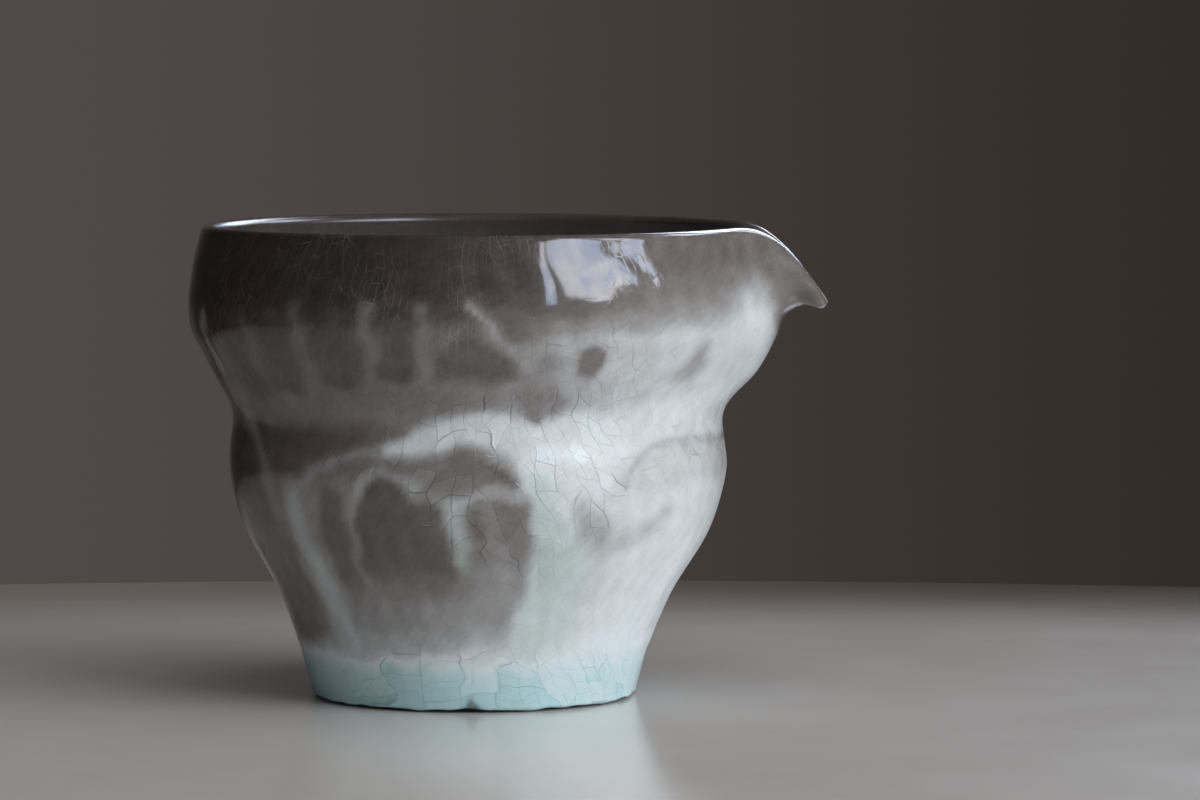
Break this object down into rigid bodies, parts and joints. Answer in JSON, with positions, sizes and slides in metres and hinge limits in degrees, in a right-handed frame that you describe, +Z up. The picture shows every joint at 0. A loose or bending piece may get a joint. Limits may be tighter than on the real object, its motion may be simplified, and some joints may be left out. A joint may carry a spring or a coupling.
{
  "type": "tea pitcher",
  "caption": "Small handleless tea pitcher: a waisted ceramic bowl on a turned foot, with a spout pulled out of its rim, under thick crackled glaze.",
  "frame": {"origin": "on the table under the middle of the footprint, spout included", "axes": "+X the way the spout points, +Z up out of the mouth"},
  "size_m": [0.0948, 0.0854, 0.07],
  "materials": {
    "body_clay": "matte",
    "foot_clay": "matte",
    "outer_glaze": "gloss",
    "inner_glaze": "gloss",
    "base_glaze": "gloss"
  },
  "bodies": {
    "root": {"thrown_body": "body_clay", "pouring_spout": "body_clay", "foot_ring": "foot_clay", "outer_glaze": "outer_glaze", "inner_glaze": "inner_glaze", "base_glaze": "base_glaze"}
  },
  "joints": []
}
